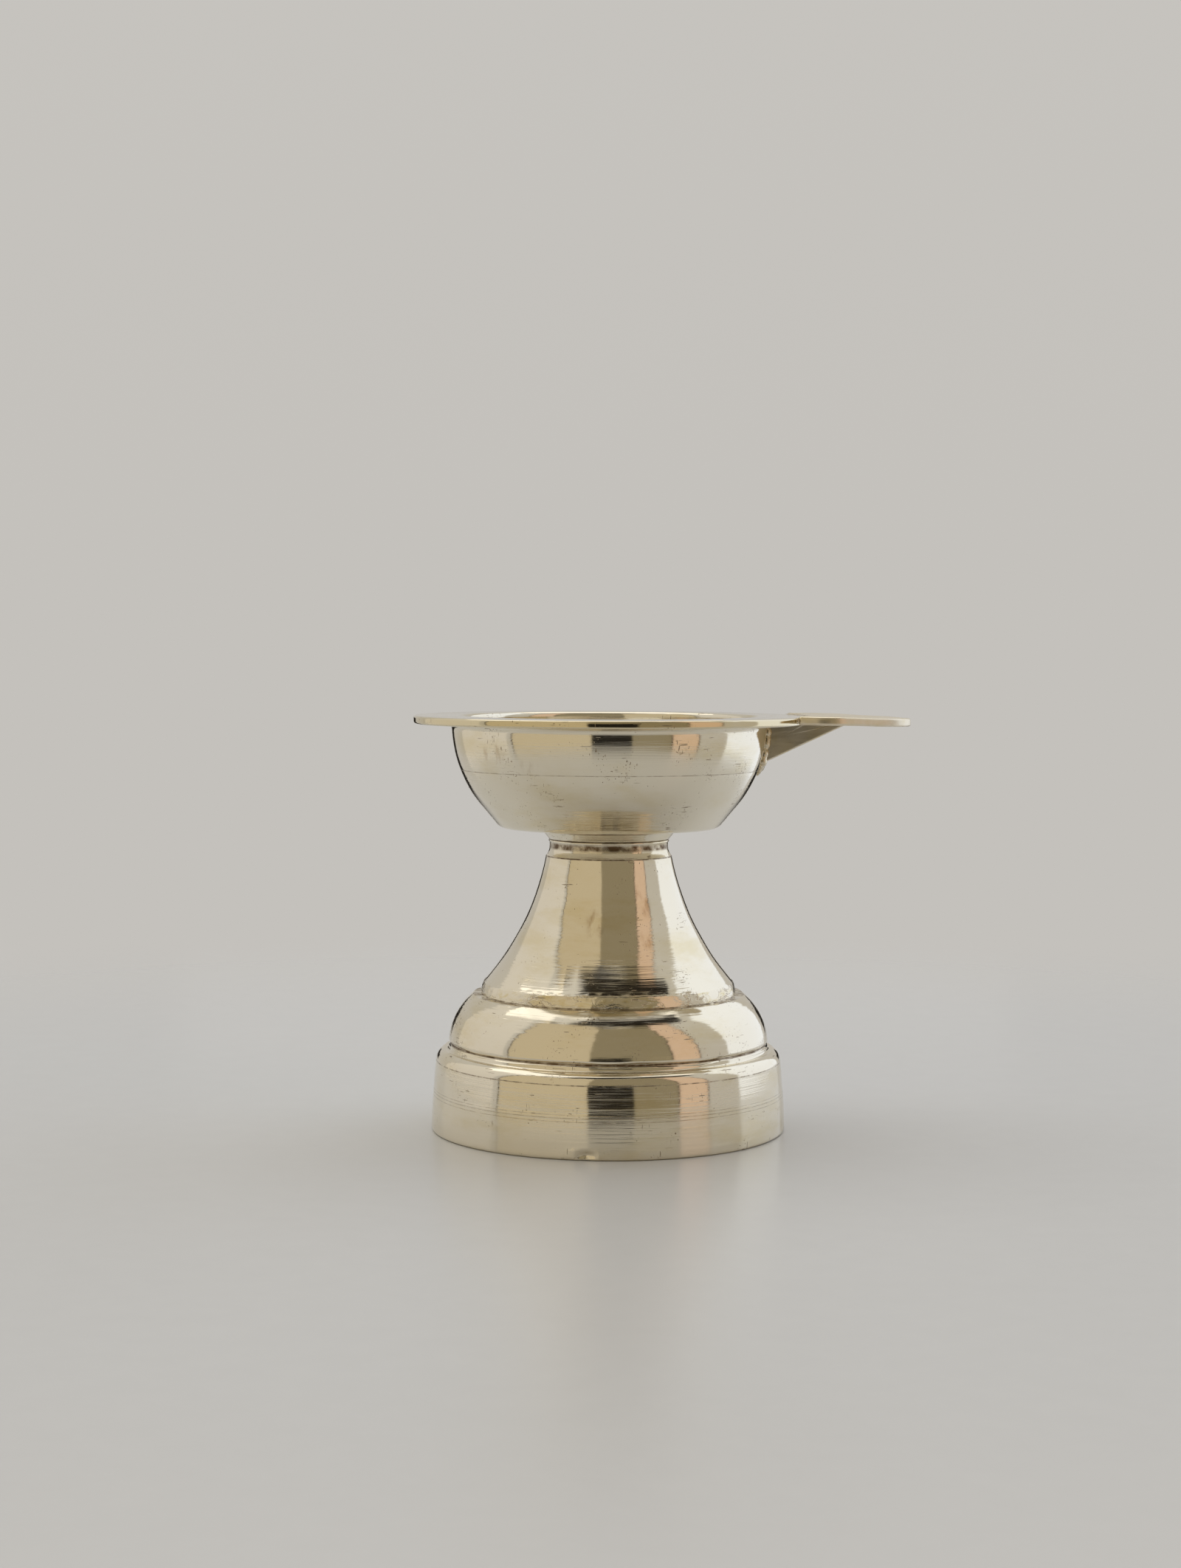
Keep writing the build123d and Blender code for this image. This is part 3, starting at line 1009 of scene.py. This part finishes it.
# Filler in the joint between rim and tab
seam_count = 64
seam_end = 0.6
seam_sink = 0.36
seam_shape = (0.3, 0.3, 0.42)
seam_sizes = (0.85, 1.1)
seam_radius = rim_radius + braze_gap / 2
seam_half = math.asin((tab_half_width - seam_end) / (rim_radius + braze_gap))
seam_drops = []
for angle in np.linspace(-seam_half, seam_half, seam_count):
    size = bead_rng.uniform(*seam_sizes)
    place = (seam_radius * math.cos(angle), seam_radius * math.sin(angle), rim_top - seam_sink)
    seam_drops.append((place, [size * part for part in seam_shape]))
tab_braze = braze_run("tab_braze_seam", seam_drops, filler_brass)
dress(tab_braze, "cup", "braze_filler", "tab_braze")


# Threaded stud
thread_pitch = 1.25
thread_depth = 0.65
thread_step = 0.08
thread_fade = 0.3
thread_end = 0.2
stud_chamfer = 0.5
stud_faces = 72
stud_corners = [
    (0.0, stud_low.z, 0),
    (stud_radius - stud_chamfer, stud_low.z, 0),
    (stud_radius, stud_low.z + stud_chamfer, 0),
    (stud_radius, stud_high.z, 0),
    (0.0, stud_high.z, 0),
]


def stud_relief(rows, along, turn):
    """A right-hand screw thread cut into the stud."""
    r, z = rows[:, :1], rows[:, 1:]
    phase = (z - stud_low.z) / thread_pitch - turn / (2 * math.pi)
    groove = 0.5 - 0.5 * np.cos(2 * math.pi * phase)
    on_chamfer = np.clip((r - stud_radius + stud_chamfer) / thread_fade, 0, 1)
    below_top = np.clip((stud_high.z - thread_end - z) / thread_fade, 0, 1)
    return -thread_depth * groove**0.8 * (on_chamfer * below_top), 0 * groove


stud_line = worn(trace(stud_corners), False, 2)
stud_line = stud_line[thinned(stud_line, lambda along: thread_step)]
stud = turned_piece("threaded_stud_screw", stud_line, False, stud_faces, stud_relief, [stud_brass])
dress(stud, "stud", "stud_brass", "threaded_stud")


# Floor, painted and satin: pale, with a soft blurred reflection, fading into the studio round it
floor_clear = 0.085
floor_end = 0.22
floor_grain_size = 0.004
floor_radius = 0.5
floor_material, floor_tree = new_material("pale_satin_floor")
floor_place = add_node(floor_tree, "ShaderNodeTexCoord").outputs["Object"]
floor_fade = ramp(floor_tree, length_of(floor_tree, floor_place), floor_clear, floor_end, smooth=True)
floor_grain = noise(floor_tree, floor_place, 1 / floor_grain_size, 3.0, 0.6)
floor_tone = blend(floor_tree, floor_grain, linear("#d8dadd"), linear("#dddfe2"))
floor_surface = add_node(
    floor_tree, "ShaderNodeBsdfPrincipled", {"Base Color": floor_tone, "Roughness": 0.28}
)
floor_gone = add_node(floor_tree, "ShaderNodeBsdfTransparent")
floor_mix = add_node(
    floor_tree,
    "ShaderNodeMixShader",
    {0: floor_fade, 1: floor_surface.outputs[0], 2: floor_gone.outputs[0]},
)
add_node(floor_tree, "ShaderNodeOutputMaterial", {"Surface": floor_mix.outputs[0]})
floor_disc = bmesh.new()
bmesh.ops.create_circle(floor_disc, cap_ends=True, segments=128, radius=floor_radius)
floor_mesh = bpy.data.meshes.new("studio_floor")
floor_disc.to_mesh(floor_mesh)
floor_disc.free()
floor_mesh.materials.append(floor_material)
floor = bpy.data.objects.new("studio_floor", floor_mesh)
bpy.context.scene.collection.objects.link(floor)


# Studio: how far panels and cards stand from the lamp's axis, and how fine the cards are
panel_distance = 0.85
card_distance = 1.05
card_grain_size = 0.02
card_steps = 24


def around(bearing, distance, height):
    """A place round the lamp: bearing is in degrees from straight in front, to the right."""
    angle = math.radians(bearing)
    return (distance * math.sin(angle), -distance * math.cos(angle), height)


def softbox(name, place, aim, wide, high, brightness, tint):
    """A soft light that faces aim; brightness is how white it looks when mirrored."""
    light = bpy.data.lights.new(name, "AREA")
    light.shape = "RECTANGLE"
    light.size = wide
    light.size_y = high
    light.color = linear(tint)[:3]
    light.energy = math.pi * brightness * wide * high
    made = bpy.data.objects.new(name, light)
    made.visible_camera = False
    made.location = place
    made.rotation_euler = (Vector(aim) - Vector(place)).to_track_quat("-Z", "Y").to_euler()
    bpy.context.scene.collection.objects.link(made)


def panel(name, bearings, low, high, brightness, tint):
    """An upright softbox between two bearings in degrees and two heights."""
    middle = (bearings[0] + bearings[1]) / 2
    wide = 2 * panel_distance * math.tan(math.radians(bearings[1] - bearings[0]) / 2)
    height = (low + high) / 2
    place = around(middle, panel_distance, height)
    softbox(name, place, (0, 0, height), wide, high - low, brightness, tint)


panel("left_panel", (-135, -80), -0.5, 1.2, 0.16, "#fff6ea")
panel("front_left_panel", (-75, -13), -0.5, 1.7, 0.58, "#fff0d0")
panel("front_high_panel", (-13, 45), 0.1, 1.7, 0.27, "#ffefc8")
panel("front_right_panel", (16, 45), -0.5, 0.1, 0.27, "#ffefc8")
panel("front_right_strip", (46, 67), -0.5, 1.7, 0.7, "#ffe1c8")
panel("right_panel", (94, 150), -0.5, 1.2, 0.66, "#d8e7ff")
softbox("top_softbox", (-0.1, 0.22, 0.85), (0, 0, 0.03), 1.1, 0.8, 0.7, "#fffdf8")

# Dark cards, matte, out of the camera's sight: they give the polished metal something dark to mirror
card_material, card_tree = new_material("matte_dark_card")
card_place = add_node(card_tree, "ShaderNodeTexCoord").outputs["Object"]
card_grain = noise(card_tree, card_place, 1 / card_grain_size, 2.0, 0.5)
card_tone = blend(card_tree, card_grain, linear("#2b2926"), linear("#34312d"))
card_surface = add_node(card_tree, "ShaderNodeBsdfDiffuse", {"Color": card_tone})
add_node(card_tree, "ShaderNodeOutputMaterial", {"Surface": card_surface.outputs[0]})


def dark_card(name, bearings, edges, back=0.0):
    """A curved card that shows only in what mirrors it, between two bearings in degrees and two edges.

    Each edge is (distance, height), and back moves the whole card away behind the lamp.
    """
    steps = np.linspace(*bearings, card_steps)
    mesh = bpy.data.meshes.new(name)
    mesh.from_pydata(
        [around(step, *edge) for edge in edges for step in steps],
        [],
        [(i, i + 1, card_steps + i + 1, card_steps + i) for i in range(card_steps - 1)],
    )
    mesh.materials.append(card_material)
    made = bpy.data.objects.new(name, mesh)
    made.location.y = back
    made.visible_camera = False
    bpy.context.scene.collection.objects.link(made)


back_edges = [(card_distance, -0.4), (card_distance, 0.08)]
dark_card("front_card", (-76, 68), [(card_distance, -0.7), (card_distance, 2.0)])
dark_card("back_left_card", (-168, -157), back_edges)
dark_card("back_right_card", (157, 168), back_edges)
dark_card("overhead_card", (-45, 60), [(0.68, 1.1), (0.95, 1.1)], 0.41)

# Backdrop: pale all round, a little paler above
world = bpy.data.worlds.new("studio")
bpy.context.scene.world = world
world.use_nodes = True
sky_tree = world.node_tree
sky_tree.nodes.clear()
sky_place = add_node(sky_tree, "ShaderNodeTexCoord")
sky_axes = add_node(sky_tree, "ShaderNodeSeparateXYZ", {0: sky_place.outputs["Generated"]})
sky_up = ramp(sky_tree, sky_axes.outputs["Z"], 0.0, 0.8, smooth=True)
sky_tone = blend(sky_tree, sky_up, linear("#c4c1bc"), linear("#cccac5"))
sky = add_node(sky_tree, "ShaderNodeBackground", {"Color": sky_tone, "Strength": 1.0})
add_node(sky_tree, "ShaderNodeOutputWorld", {"Surface": sky.outputs[0]})

# Camera: found from the photograph's own perspective, for a picture 1600 wide and 2125 high
picture_high = 2125
focal_pixels = 3457
camera_place = (-2.31, -307.8, 58.1)
camera_pitch = math.radians(90 - 3.05)
camera_roll = math.radians(-0.2)
camera_data = bpy.data.cameras.new("camera")
camera_data.sensor_width = 36.0
camera_data.lens = focal_pixels / picture_high * camera_data.sensor_width
camera_data.clip_start = 0.01
camera = bpy.data.objects.new("camera", camera_data)
camera.location = Vector(camera_place) * MM
camera.rotation_euler = (camera_pitch, camera_roll, 0)
bpy.context.scene.collection.objects.link(camera)
bpy.context.scene.camera = camera
bpy.context.scene.view_settings.view_transform = "Standard"
